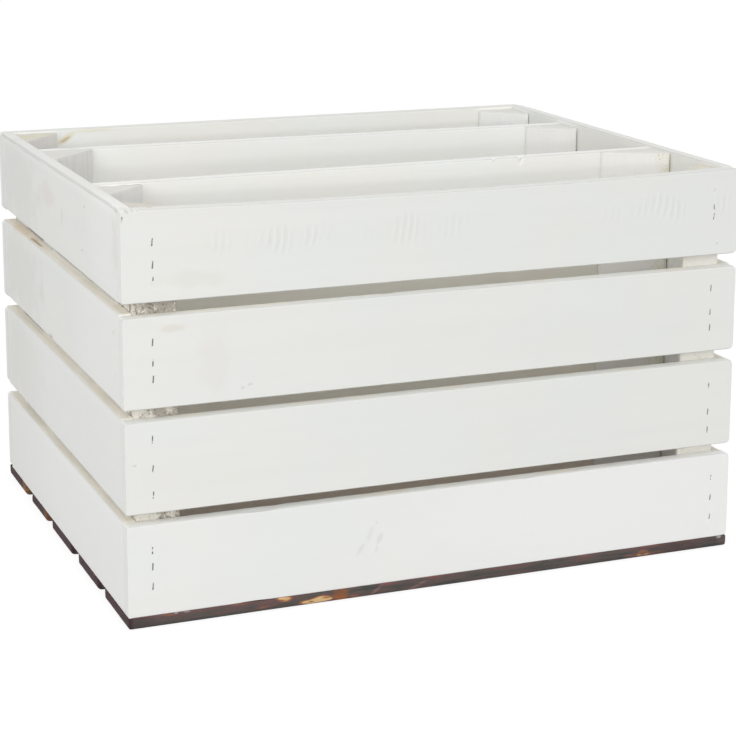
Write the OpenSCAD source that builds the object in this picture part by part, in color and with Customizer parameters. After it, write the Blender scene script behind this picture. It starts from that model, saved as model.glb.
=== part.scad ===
// A slatted crate for kindling, in millimetres: four tiers of boards nailed round triangular
// posts, two fixed dividers that part it into three bays, and a floor of boards under the walls.
// The origin is on the ground under the middle of the crate. The front faces -Y, the length
// lies along X, and tiers and staples are counted from the ground up.

/* [Crate] */
// Length of the crate along its front
crate_length = 500; // [420:1:600]
// Depth of the crate, from the front face to the back face
crate_depth = 400; // [380:1:430]
// Number of tiers of boards in every wall
tiers = 4; // [2:1:4]

/* [Wall boards] */
// Height of one board
board_height = 68; // [60:1:90]
// Thickness of one board
board_thickness = 10; // [9:0.5:13]
// Open slot between two tiers
slot_height = 10; // [4:1:20]
// Radius of the corners of an end that stands free on the outside
board_corner_radius = 4; // [1:0.5:8]
// Radius of the corners of an end that was cut flush or meets another board
butt_corner_radius = 1; // [0.5:0.5:4]
// Radius of the eased arrises along a board
board_arris_radius = 0.8; // [0.3:0.1:2]

/* [Posts] */
// Usual width of the two square faces of a triangular post
post_leg = 36; // [30:1:45]
// Flat left on the two sharp corners of a post
post_tip = 4; // [1:0.5:8]
// How far the posts and the dividers stop below the rim of the walls
rim_drop = 2; // [0.5:0.5:5]

/* [Dividers] */
// Clear depth of the front bay
front_bay = 109; // [90:1:125]
// Clear depth of the middle bay
middle_bay = 156; // [130:1:165]
// Thickness of a divider board
divider_thickness = 10; // [9:0.5:13]
// Gap between a divider's end and the side wall
divider_end_gap = 0.5; // [0.3:0.1:2]

/* [Floor] */
// Thickness of a floor board
floor_thickness = 9; // [7:0.5:12]
// Width of the first floor board, at the front
floor_width_1 = 71; // [64:0.5:76]
// Width of the second floor board
floor_width_2 = 65.5; // [58:0.5:72]
// Width of the third floor board
floor_width_3 = 70.5; // [60:0.5:76]
// Width of the fourth floor board; the fifth takes what is left
floor_width_4 = 58.5; // [52:0.5:66]
// Gap between the first and the second floor board
floor_gap_1 = 15.5; // [4:0.5:22]
// Gap between the second and the third floor board
floor_gap_2 = 18.5; // [4:0.5:22]
// Gap between the third and the fourth floor board
floor_gap_3 = 16; // [4:0.5:22]
// Gap between the fourth and the fifth floor board
floor_gap_4 = 17; // [4:0.5:22]
// Radius of the lower edges of a floor board
floor_edge_radius = 2.5; // [0.5:0.5:4]
// Radius, seen from above, of the floor boards' corners at the gaps
floor_corner_radius = 4; // [1:0.5:8]

/* [Staples] */
// Width of a staple over its crown
staple_crown = 6; // [5:0.5:8]
// Length of a staple's legs, with the crown
staple_leg = 18; // [13:1:18]
// Width of the staple wire
wire_width = 1.2; // [0.8:0.1:1.6]
// Thickness of the staple wire
wire_thickness = 1; // [0.6:0.1:1.4]
// Depth of the crown below the wood
staple_sink = 0.4; // [0.2:0.1:1]

/* [Hidden] */
$fn = 48;
past = 1;                                   // how far a cut runs past the face it opens
half_length = crate_length / 2;
half_depth = crate_depth / 2;
inner_length = crate_length - 2 * board_thickness;
inner_depth = crate_depth - 2 * board_thickness;
tier_pitch = board_height + slot_height;
post_height = tiers * tier_pitch - slot_height - rim_drop;
divider_pitch = tier_pitch - rim_drop / (tiers - 1);

front_divider_face = board_thickness + front_bay;
back_divider_face = front_divider_face + divider_thickness + middle_bay;
divider_length = inner_length - 2 * divider_end_gap;

first_widths = [floor_width_1, floor_width_2, floor_width_3, floor_width_4];
floor_gaps = [floor_gap_1, floor_gap_2, floor_gap_3, floor_gap_4];
floor_boards = len(first_widths) + 1;
// Corner radii from the front: none on the crate's own corners
floor_corners = [0, for (gap = floor_gaps) floor_corner_radius, 0];

// The posts were sawn by hand. How much wider than usual the left and the right one of each
// pair are along X and along Y
front_corner_trims = [[-3, -3], [-4, -4]];
back_corner_trims = [[2, 4], [0, 0]];
front_divider_trims = [[3, 0], [14, -7]];
back_divider_trims = [[7, 7], [2, -7]];

// How far the staples stand from a post's square corner, and from a wall's end
staple_offset = 0.32 * post_leg;
staple_inset = board_thickness + staple_offset;
// Heights of the three staples in a board's end as shares of its height, one row a tier,
// and how much nearer the middle of the crate each row stands. They were driven by hand.
front_left_heights = [[0.33, 0.55, 0.73], [0.20, 0.49, 0.81], [0.32, 0.50, 0.72], [0.23, 0.40, 0.64]];
front_right_heights = [[0.26, 0.50, 0.75], [0.19, 0.41, 0.72], [0.28, 0.47, 0.75], [0.45, 0.56, 0.74]];
front_left_shifts = [-2.5, -1, 0.5, 1.5];
front_right_shifts = [-5.5, -0.5, 0.5, 0];
other_heights = [[0.27, 0.50, 0.76], [0.22, 0.47, 0.73], [0.30, 0.52, 0.78], [0.25, 0.49, 0.74]];
other_shifts = [0.5, 0, 1, 0.5];
// Where the floor's staples stand: shares of a floor board's width, and of the crate's length
floor_end_shares = [0.3, 0.7];
floor_run_shares = [-0.3, 0, 0.3];

WALLS = ["front", "back", "left", "right"];
DIVIDERS = ["front", "back"];
SIDES = ["left", "right"];

PAINT = [0.91, 0.91, 0.90];
RAW_PAINT = [0.86, 0.85, 0.81];
CHARRED = [0.25, 0.18, 0.15];
ZINC = [0.66, 0.66, 0.64];

// ---------------------------------------------------------------- places

// -1 on the left or at the front, 1 on the right or at the back
function sign_of(name) = name == "left" || name == "front" ? -1 : 1;

// Height of the lower edge of a tier's boards, in the walls and in the dividers
function tier_z(tier) = floor_thickness + (tier - 1) * tier_pitch;
function divider_z(tier) = floor_thickness + (tier - 1) * divider_pitch;

// Distance of a divider's front face from the crate's front face
function divider_face(divider) = divider == "front" ? front_divider_face : back_divider_face;

// Width of a floor board, and the distance of its front edge from the crate's front face
function floor_width(place) = place < floor_boards
    ? first_widths[place - 1]
    : crate_depth - floor_start(floor_boards);
function floor_start(place) = place == 1
    ? 0
    : floor_start(place - 1) + first_widths[place - 2] + floor_gaps[place - 2];

// Heights of the three staples in one end of a board whose lower edge is at z
function staple_heights(z, row) = [for (share = row) z + share * board_height];

// Each staple is [place of its crown's face, rotation that points its legs]
function front_staples(tier, side) =
    let (rows = side == "left" ? front_left_heights : front_right_heights,
         shifts = side == "left" ? front_left_shifts : front_right_shifts,
         x = sign_of(side) * (half_length - staple_inset - shifts[tier - 1]))
    [for (z = staple_heights(tier_z(tier), rows[tier - 1]))
        [[x, staple_sink - half_depth, z], [0, 0, 0]]];

function back_staples(tier, side) =
    let (x = sign_of(side) * (half_length - staple_inset - other_shifts[tier - 1]))
    [for (z = staple_heights(tier_z(tier), other_heights[tier - 1]))
        [[x, half_depth - staple_sink, z], [0, 0, 180]]];

// A side wall's staples at one distance from the crate's front face
function side_staples(tier, side, distance) =
    [for (z = staple_heights(tier_z(tier), other_heights[tier - 1]))
        [[sign_of(side) * (half_length - staple_sink), distance - half_depth, z],
         [0, 0, sign_of(side) * 90]]];

function side_corner_distance(end) = end == "front"
    ? staple_inset
    : crate_depth - staple_inset;
function side_divider_distance(divider) = divider_face(divider) - staple_offset;
function side_distances() = concat(
    [for (end = DIVIDERS) side_corner_distance(end)],
    [for (divider = DIVIDERS) side_divider_distance(divider)]);

function divider_staples(divider, tier, side) =
    let (x = sign_of(side) * (half_length - staple_inset - other_shifts[tier - 1]),
         y = divider_face(divider) + divider_thickness - staple_sink - half_depth)
    [for (z = staple_heights(divider_z(tier), other_heights[tier - 1]))
        [[x, y, z], [0, 0, 180]]];

// Staples up through one floor board: into the side walls, and into the wall or divider it carries
function floor_end_staples(place) =
    [for (side = SIDES, share = floor_end_shares)
        [[sign_of(side) * (half_length - board_thickness / 2),
          floor_start(place) + share * floor_width(place) - half_depth,
          staple_sink],
         [90, 0, 0]]];
function floor_carries(place, distance) =
    distance > floor_start(place) && distance < floor_start(place) + floor_width(place);
function carried_distances() = [
    board_thickness / 2,
    crate_depth - board_thickness / 2,
    front_divider_face + divider_thickness / 2,
    back_divider_face + divider_thickness / 2
];
function floor_run_staples(place) =
    [for (distance = carried_distances(), share = floor_run_shares)
        if (floor_carries(place, distance))
            [[share * crate_length, distance - half_depth, staple_sink], [90, 0, 90]]];
function floor_staples(place) = concat(floor_end_staples(place), floor_run_staples(place));
function all_floor_staples() = [
    for (place = [1:floor_boards]) each floor_staples(place)
];

// ---------------------------------------------------------------- shapes

// A rectangle from the origin, its left corners rounded by start and its right ones by end
module rounded_rectangle(width, height, start, end) {
    translate([start, 0]) square([width - start - end, height]);
    translate([0, start]) square([width / 2, height - 2 * start]);
    translate([width / 2, end]) square([width / 2, height - 2 * end]);
    for (y = [start, height - start]) translate([start, y]) circle(r = start);
    for (y = [end, height - end]) translate([width - end, y]) circle(r = end);
}

// A rectangle from the origin with its two lower corners rounded
module round_bottomed(width, height, radius) {
    translate([radius, 0]) square([width - 2 * radius, height]);
    translate([0, radius]) square([width, height - radius]);
    for (x = [radius, width - radius]) translate([x, radius]) circle(r = radius);
}

// A floor board from above, from the origin, its front and its back corners rounded
module floor_plan(length, width, front, back) {
    translate([0, front]) square([length, width - front - back]);
    if (front > 0) {
        translate([front, 0]) square([length - 2 * front, width / 2]);
        for (x = [front, length - front]) translate([x, front]) circle(r = front);
    }
    if (back > 0) {
        translate([back, width / 2]) square([length - 2 * back, width / 2]);
        for (x = [back, length - back]) translate([x, width - back]) circle(r = back);
    }
}

// A wall board along X, from the origin to its length, thickness and height, with the radius
// of the corners at its two ends
module wall_board(length, thickness, start, end) {
    intersection() {
        translate([0, thickness, 0]) rotate([90, 0, 0]) linear_extrude(thickness)
            rounded_rectangle(length, board_height, start, end);
        rotate([90, 0, 90]) linear_extrude(length)
            rounded_rectangle(thickness, board_height, board_arris_radius, board_arris_radius);
    }
}

// A post: a right-angled triangle on the ground plane, its square corner at the origin,
// its faces along +X and +Y, which differ from the usual width by the trim
module post(trim) {
    wide = post_leg + trim[0];
    deep = post_leg + trim[1];
    linear_extrude(post_height) polygon([
        [0, 0], [wide, 0], [wide, post_tip], [post_tip, deep], [0, deep]
    ]);
}

// A staple: the crown's face on Y = 0 along Z, the legs towards +Y
module staple() {
    bend = wire_thickness;
    translate([-wire_width / 2, 0, 0]) rotate([90, 0, 90]) linear_extrude(wire_width)
        difference() {
            union() {
                translate([0, bend - staple_crown / 2])
                    square([bend + past, staple_crown - 2 * bend]);
                translate([bend, -staple_crown / 2])
                    square([staple_leg - bend, staple_crown]);
                for (y = [bend - staple_crown / 2, staple_crown / 2 - bend])
                    translate([bend, y]) circle(r = bend);
            }
            translate([wire_thickness, wire_thickness - staple_crown / 2])
                square([staple_leg, staple_crown - 2 * wire_thickness]);
        }
}

// What a driven staple leaves open in the wood: the dent over its crown and its two legs
module staple_hole() {
    translate([-wire_width / 2, -staple_sink - past, -staple_crown / 2])
        cube([wire_width, staple_sink + past + wire_thickness, staple_crown]);
    for (z = [-staple_crown / 2, staple_crown / 2 - wire_thickness])
        translate([-wire_width / 2, 0, z]) cube([wire_width, staple_leg, wire_thickness]);
}

module driven(places) {
    for (place = places) translate(place[0]) rotate(place[1]) children();
}

// ---------------------------------------------------------------- walls

module front_board(tier) {
    color(PAINT) difference() {
        translate([-half_length, -half_depth, tier_z(tier)])
            wall_board(crate_length, board_thickness, butt_corner_radius, board_corner_radius);
        for (side = SIDES) driven(front_staples(tier, side)) staple_hole();
        if (tier == 1) driven(floor_run_staples(1)) staple_hole();
    }
}

module back_board(tier) {
    color(PAINT) difference() {
        translate([-half_length, half_depth - board_thickness, tier_z(tier)])
            wall_board(crate_length, board_thickness, board_corner_radius, board_corner_radius);
        for (side = SIDES) driven(back_staples(tier, side)) staple_hole();
        if (tier == 1) driven(floor_run_staples(floor_boards)) staple_hole();
    }
}

// A side board stands between the front and the back boards
module side_board(side, tier) {
    outer = sign_of(side) * half_length;
    color(PAINT) difference() {
        translate([side == "left" ? outer + board_thickness : outer,
                   board_thickness - half_depth, tier_z(tier)])
            rotate([0, 0, 90])
                wall_board(inner_depth, board_thickness, butt_corner_radius, butt_corner_radius);
        for (distance = side_distances())
            driven(side_staples(tier, side, distance)) staple_hole();
        if (tier == 1)
            for (place = [1:floor_boards]) driven(floor_end_staples(place)) staple_hole();
    }
}

module divider_board(divider, tier) {
    color(PAINT) difference() {
        translate([-divider_length / 2, divider_face(divider) - half_depth, divider_z(tier)])
            wall_board(divider_length, divider_thickness, butt_corner_radius, butt_corner_radius);
        for (side = SIDES) driven(divider_staples(divider, tier, side)) staple_hole();
        if (tier == 1)
            for (place = [1:floor_boards]) driven(floor_run_staples(place)) staple_hole();
    }
}

// ---------------------------------------------------------------- posts

module corner_post(end, side) {
    x = sign_of(side);
    y = sign_of(end);
    trims = end == "front" ? front_corner_trims : back_corner_trims;
    color(RAW_PAINT) difference() {
        translate([x * inner_length / 2, y * inner_depth / 2, floor_thickness])
            mirror([x > 0 ? 1 : 0, 0, 0]) mirror([0, y > 0 ? 1 : 0, 0])
                post(trims[side == "left" ? 0 : 1]);
        for (tier = [1:tiers]) {
            driven(end == "front" ? front_staples(tier, side) : back_staples(tier, side))
                staple_hole();
            driven(side_staples(tier, side, side_corner_distance(end))) staple_hole();
        }
    }
}

// A divider's post stands in front of it, in the corner that it makes with the side wall
module divider_post(divider, side) {
    trims = divider == "front" ? front_divider_trims : back_divider_trims;
    color(RAW_PAINT) difference() {
        translate([sign_of(side) * inner_length / 2,
                   divider_face(divider) - half_depth, floor_thickness])
            mirror([side == "right" ? 1 : 0, 0, 0]) mirror([0, 1, 0])
                post(trims[side == "left" ? 0 : 1]);
        for (tier = [1:tiers]) {
            driven(divider_staples(divider, tier, side)) staple_hole();
            driven(side_staples(tier, side, side_divider_distance(divider))) staple_hole();
        }
    }
}

// ---------------------------------------------------------------- floor

module floor_board(place) {
    width = floor_width(place);
    color(CHARRED) difference() {
        translate([-half_length, floor_start(place) - half_depth, 0]) intersection() {
            rotate([90, 0, 90]) linear_extrude(crate_length)
                round_bottomed(width, floor_thickness, floor_edge_radius);
            translate([0, width, 0]) rotate([90, 0, 0]) linear_extrude(width)
                round_bottomed(crate_length, floor_thickness, floor_edge_radius);
            linear_extrude(floor_thickness)
                floor_plan(crate_length, width, floor_corners[place - 1], floor_corners[place]);
        }
        driven(floor_staples(place)) staple_hole();
    }
}

// ---------------------------------------------------------------- fasteners

module wall_staples(wall) {
    color(ZINC) for (tier = [1:tiers]) {
        if (wall == "front") for (side = SIDES) driven(front_staples(tier, side)) staple();
        if (wall == "back") for (side = SIDES) driven(back_staples(tier, side)) staple();
        if (wall == "left" || wall == "right")
            for (distance = side_distances())
                driven(side_staples(tier, wall, distance)) staple();
    }
}

module all_divider_staples() {
    color(ZINC) for (divider = DIVIDERS, tier = [1:tiers], side = SIDES)
        driven(divider_staples(divider, tier, side)) staple();
}

module under_floor_staples() {
    color(ZINC) driven(all_floor_staples()) staple();
}

// ---------------------------------------------------------------- the crate

for (tier = [1:tiers]) {
    front_board(tier);
    back_board(tier);
    side_board("left", tier);
    side_board("right", tier);
    divider_board("front", tier);
    divider_board("back", tier);
}
for (end = DIVIDERS, side = SIDES) {
    corner_post(end, side);
    divider_post(end, side);
}
for (place = [1:floor_boards])
    floor_board(place);
for (wall = WALLS)
    wall_staples(wall);
all_divider_staples();  // divider_staples
under_floor_staples();  // floor_staples
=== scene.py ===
"""The looks of a slatted kindling crate: white paint over pine boards, rough sawn posts, wire
staples and a charred floor, in a plain pale studio.

Lengths are in metres in the crate's own frame. The origin is on the ground under the middle of
the crate, the front faces -Y and the length lies along X.
"""

from __future__ import annotations

import logging
import math
from dataclasses import dataclass, field
from enum import Enum
from functools import partial
from typing import Any, Iterable, Mapping, Optional, Sequence

import bpy
import numpy as np
from mathutils import Matrix, Vector


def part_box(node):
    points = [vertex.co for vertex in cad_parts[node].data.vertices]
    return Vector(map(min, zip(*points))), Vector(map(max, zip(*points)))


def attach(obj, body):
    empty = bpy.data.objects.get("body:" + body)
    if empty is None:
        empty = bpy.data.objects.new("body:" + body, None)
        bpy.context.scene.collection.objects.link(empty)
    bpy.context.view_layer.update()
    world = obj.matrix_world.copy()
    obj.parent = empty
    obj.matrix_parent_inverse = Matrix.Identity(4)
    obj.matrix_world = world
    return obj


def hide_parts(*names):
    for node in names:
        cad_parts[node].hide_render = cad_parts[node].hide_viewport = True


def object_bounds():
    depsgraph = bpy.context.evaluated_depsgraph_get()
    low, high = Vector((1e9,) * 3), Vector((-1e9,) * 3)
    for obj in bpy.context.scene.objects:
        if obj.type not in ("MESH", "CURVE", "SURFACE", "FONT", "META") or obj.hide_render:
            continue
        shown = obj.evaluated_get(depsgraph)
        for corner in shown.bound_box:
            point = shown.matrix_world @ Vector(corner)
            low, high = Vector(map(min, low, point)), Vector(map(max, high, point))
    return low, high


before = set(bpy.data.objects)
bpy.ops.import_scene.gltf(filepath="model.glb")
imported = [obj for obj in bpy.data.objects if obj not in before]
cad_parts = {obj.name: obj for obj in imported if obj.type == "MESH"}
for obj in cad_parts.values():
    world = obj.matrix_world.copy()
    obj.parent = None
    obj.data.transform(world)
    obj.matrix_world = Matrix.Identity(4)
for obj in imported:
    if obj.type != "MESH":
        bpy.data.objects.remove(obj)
CAD_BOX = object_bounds()

log = logging.getLogger("crate")

MM = 0.001
MICRON = 1e-6
TOUCH = 1e-9
BODY = "root"
TIERS = 4
FLOOR_BOARDS = 5
SEEDS_A_WALL = 10

Colour = tuple[float, float, float]
Array = np.ndarray


# ---------------------------------------------------------------- shader expressions


class Value:
    """An output socket that takes part in Python expressions."""

    def __init__(self, shader: Shader, socket: bpy.types.NodeSocket) -> None:
        """Wraps one output socket of a shader's tree."""
        self.shader = shader
        self.socket = socket

    def output(self, name: str) -> Value:
        """Another output of the same node."""
        return Value(self.shader, self.socket.node.outputs[name])

    def _math(self, operation: str, *terms: Any) -> Value:
        """Adds a Math node on one or two terms."""
        return self.shader.node("ShaderNodeMath", {"operation": operation}, dict(enumerate(terms)))

    def __add__(self, other: Value | float) -> Value:
        """self + other, or other + self."""
        return self._math("ADD", self, other)

    def __sub__(self, other: Value | float) -> Value:
        """self - other."""
        return self._math("SUBTRACT", self, other)

    def __rsub__(self, other: float) -> Value:
        """other - self."""
        return self._math("SUBTRACT", other, self)

    def __mul__(self, other: Value | float) -> Value:
        """self * other, or other * self."""
        return self._math("MULTIPLY", self, other)

    def __truediv__(self, other: Value | float) -> Value:
        """self / other."""
        return self._math("DIVIDE", self, other)

    __radd__ = __add__
    __rmul__ = __mul__

    def larger(self, other: Value | float) -> Value:
        """The larger of the two."""
        return self._math("MAXIMUM", self, other)

    def sine(self) -> Value:
        """The sine of self, in radians."""
        return self._math("SINE", self)

    def fade(self, start: float, end: float) -> Value:
        """A smooth step.

        Args:
            start: where the step is 0.
            end: where it is 1; it may be below start.

        Returns:
            0 before start, 1 past end, and smooth in between.
        """
        low, high, first, last = (start, end, 0.0, 1.0) if start <= end else (end, start, 1.0, 0.0)
        inputs = {"Value": self, "From Min": low, "From Max": high, "To Min": first, "To Max": last}
        return self.shader.node("ShaderNodeMapRange", {"interpolation_type": "SMOOTHSTEP"}, inputs)


class Shader:
    """The node tree of a material or of the world."""

    def __init__(self, tree: bpy.types.NodeTree) -> None:
        """Takes a tree and empties it."""
        self.tree = tree
        tree.nodes.clear()

    def node(
        self,
        kind: str,
        settings: Optional[Mapping[str, Any]] = None,
        inputs: Optional[Mapping[Any, Any]] = None,
        output: int = 0,
    ) -> Value:
        """Adds any node.

        Args:
            kind: the node's type.
            settings: its own settings, such as an operation; "stops" are a ramp's stops.
            inputs: a number, a colour or a Value for each named or numbered socket.
            output: which output to return.

        Returns:
            That output.
        """
        made = self.tree.nodes.new(kind)
        for name, value in (settings or {}).items():
            if name == "stops":
                self._set_stops(made.color_ramp, value)
            else:
                setattr(made, name, value)
        for name, value in (inputs or {}).items():
            if isinstance(value, Value):
                self.tree.links.new(value.socket, made.inputs[name])
            else:
                made.inputs[name].default_value = value
        return Value(self, made.outputs[output] if made.outputs else None)

    @staticmethod
    def _set_stops(ramp: bpy.types.ColorRamp, stops: Sequence[tuple[float, Colour]]) -> None:
        """Gives a colour ramp its stops."""
        while len(ramp.elements) < len(stops):
            ramp.elements.new(1.0)
        for element, (place, colour) in zip(ramp.elements, stops):
            element.position = place
            element.color = (*colour, 1.0)

    def attribute(self, name: str) -> Value:
        """A vector that the mesh carries."""
        return self.node("ShaderNodeAttribute", {"attribute_name": name}).output("Vector")

    def split(self, vector: Value) -> Value:
        """The X of a vector, on a node whose other outputs are "Y" and "Z"."""
        return self.node("ShaderNodeSeparateXYZ", {}, {0: vector})

    def vector(self, operation: str, first: Any, second: Any) -> Value:
        """A Vector Math node on two vectors."""
        return self.node("ShaderNodeVectorMath", {"operation": operation}, {0: first, 1: second})

    def noise(
        self, place: Value, per_metre: Sequence[float], detail: float = 3.0, distortion: float = 0.0
    ) -> Value:
        """Noise between about 0 and 1.

        Args:
            place: the point.
            per_metre: how many features there are in a metre, in each direction.
            detail: how many finer layers it has.
            distortion: how much it is bent.

        Returns:
            The noise.
        """
        scaled = self.vector("MULTIPLY", place, tuple(per_metre))
        inputs = {"Vector": scaled, "Scale": 1.0, "Detail": detail, "Distortion": distortion}
        return self.node("ShaderNodeTexNoise", {}, inputs)

    def mix(self, factor: Value | float, first: Any, second: Any, blend: str = "MIX") -> Value:
        """Mixes two colours."""
        settings = {"data_type": "RGBA", "blend_type": blend}
        colours = [(*c, 1.0) if isinstance(c, tuple) else c for c in (first, second)]
        return self.node("ShaderNodeMix", settings, {0: factor, 6: colours[0], 7: colours[1]}, output=2)

    def ramp(self, factor: Value, stops: Sequence[tuple[float, Colour]]) -> Value:
        """A colour for each level of the factor."""
        return self.node("ShaderNodeValToRGB", {"stops": stops}, {"Fac": factor})

    def bump(self, height: Value, strength: float, depth: float) -> Value:
        """A normal that follows a height of 0 to 1, where 1 stands depth metres proud."""
        return self.node("ShaderNodeBump", {}, {"Height": height, "Strength": strength, "Distance": depth})

    def finish(self, colour: Any, roughness: Any, normal: Value, **others: float) -> None:
        """Ends a material in a Principled surface; others are named with underscores for spaces."""
        inputs = {"Base Color": colour, "Roughness": roughness, "Normal": normal}
        inputs |= {name.replace("_", " "): value for name, value in others.items()}
        surface = self.node("ShaderNodeBsdfPrincipled", {}, inputs)
        self.node("ShaderNodeOutputMaterial", {}, {"Surface": surface})


def new_material(name: str) -> tuple[bpy.types.Material, Shader]:
    """A material with an empty tree, and the shader that fills it."""
    material = bpy.data.materials.new(name)
    material.use_nodes = True
    return material, Shader(material.node_tree)


# ---------------------------------------------------------------- finishes


class MarkKind(Enum):
    """What can show on one place of a board."""

    # This kind also carries one near-black line of painted shade, in a slot of the left wall.
    KNOT_AND_SHADE = "a knot that bleeds through the paint"
    STAIN = "a soft tinted patch"
    SCRATCH = "a scrape in the paint"
    CHATTER = "ripples that a planer left"
    FLAME = "lighter wood that the flame spared"


@dataclass(frozen=True)
class Mark:
    """One mark, by its place from a board's left or front end and its lower edge.

    It goes right through the board, or has a thickness round its own place from the outer face.
    It leans in the plane of the face or, on an edge, in that of the edge.
    """

    kind: MarkKind
    along: float
    across: float
    length: float
    width: float
    strength: float = 1.0
    colour: Colour = (0.55, 0.42, 0.27)
    lean: float = 0.0
    through: float = 0.0
    thickness: float = math.inf
    ragged: float = 1.2
    on_edge: bool = False

    def mask(self, shader: Shader, place: Value, waver: Value) -> Value:
        """Where the mark shows.

        Args:
            shader: the material's shader.
            place: the point in the board's own lengths.
            waver: noise that breaks the mark's outline.

        Returns:
            1 in the middle of the mark, falling to 0 at its outline.
        """
        from_middle = shader.vector("SUBTRACT", place, (self.along, self.through, self.across))
        if self.lean:
            inputs = {"Vector": from_middle, "Angle": self.lean}
            turned = {"rotation_type": "Z_AXIS" if self.on_edge else "Y_AXIS"}
            from_middle = shader.node("ShaderNodeVectorRotate", turned, inputs)
        shares = (2 / self.length, 2 / self.thickness, 2 / self.width)
        scaled = shader.vector("MULTIPLY", from_middle, shares)
        reach = shader.node("ShaderNodeVectorMath", {"operation": "LENGTH"}, {0: scaled}).output("Value")
        return (reach + (waver - 0.5) * self.ragged).fade(1.0, 0.35) * self.strength


@dataclass(frozen=True)
class Paint:
    """White paint on planed pine, worn thin along the arrises and bare where no brush reached."""

    white: Colour = (0.92, 0.92, 0.90)
    shade: Colour = (0.87, 0.87, 0.84)
    warm: Colour = (1.0, 0.995, 0.975)
    cool: Colour = (0.985, 1.0, 0.99)
    worn: Colour = (0.60, 0.60, 0.57)
    # pine and dark_pine are paler than bare pine: painted light on the board edges in the slots, which get
    # little light.
    pine: Colour = (0.99, 0.965, 0.89)
    dark_pine: Colour = (0.91, 0.87, 0.77)
    ripple_pitch: float = 5.8 * MM
    ripple_slant: float = 3 * MM
    ripple_bow: float = 5 * MM
    ripple_waver: float = 4 * MM
    relief: float = 0.35 * MM

    SLOT = "white_paint"
    COAT = "paint"

    def material(self, name: str, seed: int, marks: Sequence[Mark] = ()) -> bpy.types.Material:
        """The paint on one board.

        Args:
            name: the material's name.
            seed: sets the grain, which differs from board to board.
            marks: what shows on this board alone.

        Returns:
            The material.
        """
        material, shader = new_material(name)
        place = shader.attribute("place")
        grain = shader.vector("ADD", place, (seed * 1.7, seed * 0.9, seed * 0.3))
        fibre = shader.noise(grain, (14, 500, 500), detail=4)
        streak = shader.noise(grain, (2.5, 70, 70), detail=3)
        cloud = shader.noise(grain, (9, 9, 14), detail=2)
        brushed = shader.noise(grain, (28, 60, 90), detail=3)
        speckle = shader.noise(grain, (900, 900, 900), detail=2)
        wear = shader.split(shader.attribute("wear"))

        colour = shader.mix(streak.fade(0.35, 0.75) * 0.22 + fibre * 0.1, self.white, self.shade)
        tints = shader.mix(cloud.fade(0.35, 0.65), self.warm, self.cool)
        colour = shader.mix(1.0, colour, tints, "MULTIPLY")
        colour = shader.mix(wear.output("Z") * 0.45, colour, self.worn)

        waver = shader.noise(place, (55, 55, 55), detail=2)
        ripples: Any = 0.0
        scrapes: Any = 0.0
        for mark in marks:
            mask = mark.mask(shader, place, waver)
            if mark.kind is MarkKind.CHATTER:
                ripples = self._ripples(shader, place, mark, waver) * mask + ripples
            elif mark.kind is MarkKind.SCRATCH:
                scrapes = mask + scrapes
            elif mark.kind is MarkKind.STAIN:
                colour = shader.mix(mask, colour, mark.colour)
        if isinstance(ripples, Value):
            colour = shader.mix(ripples * 0.10, colour, self.worn)
        if isinstance(scrapes, Value):
            colour = shader.mix(scrapes * 0.35, colour, self.worn)

        thin = (wear.output("Y") + (fibre - 0.5) * 0.9 + (speckle - 0.5) * 0.5).fade(0.62, 0.95)
        colour = shader.mix(thin * 0.6, colour, self.worn)
        bare = (wear.output("X") + (brushed - 0.5) * 1.4 + (fibre - 0.5) * 0.6).fade(0.42, 0.68)
        # The bare wood is paled as painted light in the dim slots.
        wood = shader.mix(fibre.fade(0.35, 0.65), self.pine, self.dark_pine)
        colour = shader.mix(bare, colour, wood)
        # Knots go on last; one of these marks is a near-black line of painted shade in a slot.
        for mark in marks:
            if mark.kind is MarkKind.KNOT_AND_SHADE:
                knot_and_shade = mark.mask(shader, place, waver) * (fibre * 0.7 + 0.5)
                colour = shader.mix(knot_and_shade, colour, mark.colour)

        height = fibre * 0.4 + speckle * 0.25 + cloud * 0.3 + ripples - scrapes
        roughness = speckle * 0.12 + bare * 0.15 + 0.5
        shader.finish(colour, roughness, shader.bump(height, 0.35, self.relief))
        return material

    def _ripples(self, shader: Shader, place: Value, mark: Mark, waver: Value) -> Value:
        """Curved ripples across a board, -1 to 1, a little uneven."""
        parts = shader.split(place)
        up = (parts.output("Z") - mark.across) / mark.width
        bowed = parts.output("X") - up * self.ripple_slant + up * up * self.ripple_bow
        bowed = bowed + waver * self.ripple_waver
        return (bowed * (2 * math.pi / self.ripple_pitch)).sine()


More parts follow.
